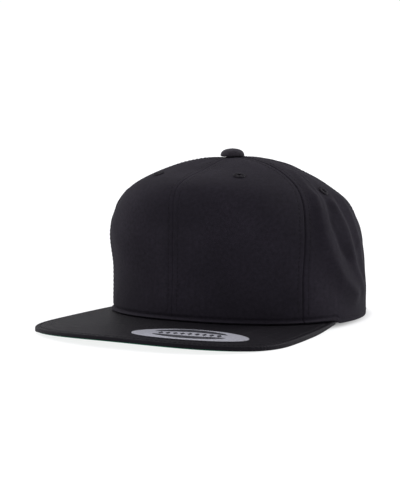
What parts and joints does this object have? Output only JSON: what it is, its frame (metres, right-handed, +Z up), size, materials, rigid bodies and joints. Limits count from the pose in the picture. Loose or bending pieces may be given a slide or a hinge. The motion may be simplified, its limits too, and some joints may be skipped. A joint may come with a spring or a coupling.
{
  "type": "snapback cap",
  "caption": "Snapback cap with a high panelled crown, a flat gently arched peak, a cloth-covered top button and a plastic snap strap across the rear arch.",
  "frame": {"origin": "centre of the cap's box seen from above, on the surface that it stands on", "axes": "-Y to the front of the peak, +X to the wearer's left, +Z up"},
  "size_m": [0.182, 0.2686, 0.12],
  "materials": {
    "cap_cloth": "black cotton twill",
    "eyelet_thread": "black embroidery thread",
    "button_cloth": "black twill drawn over a button",
    "peak_cloth": "black cotton twill over a stiff board",
    "under_cloth": "green cotton twill",
    "label_foil": "matt silver foil label",
    "band_cloth": "black cotton sweatband",
    "strap_plastic": "black moulded plastic"
  },
  "bodies": {
    "root": {"panel_front_left": "cap_cloth", "eyelet_front_left": "eyelet_thread", "panel_front_right": "cap_cloth", "eyelet_front_right": "eyelet_thread", "panel_side_left": "cap_cloth", "eyelet_side_left": "eyelet_thread", "panel_side_right": "cap_cloth", "eyelet_side_right": "eyelet_thread", "panel_back_left": "cap_cloth", "eyelet_back_left": "eyelet_thread", "panel_back_right": "cap_cloth", "eyelet_back_right": "eyelet_thread", "top_button": "button_cloth", "peak_upper": "peak_cloth", "peak_under": "under_cloth", "peak_label": "label_foil", "sweatband": "band_cloth", "snap_strap": "strap_plastic"}
  },
  "joints": []
}
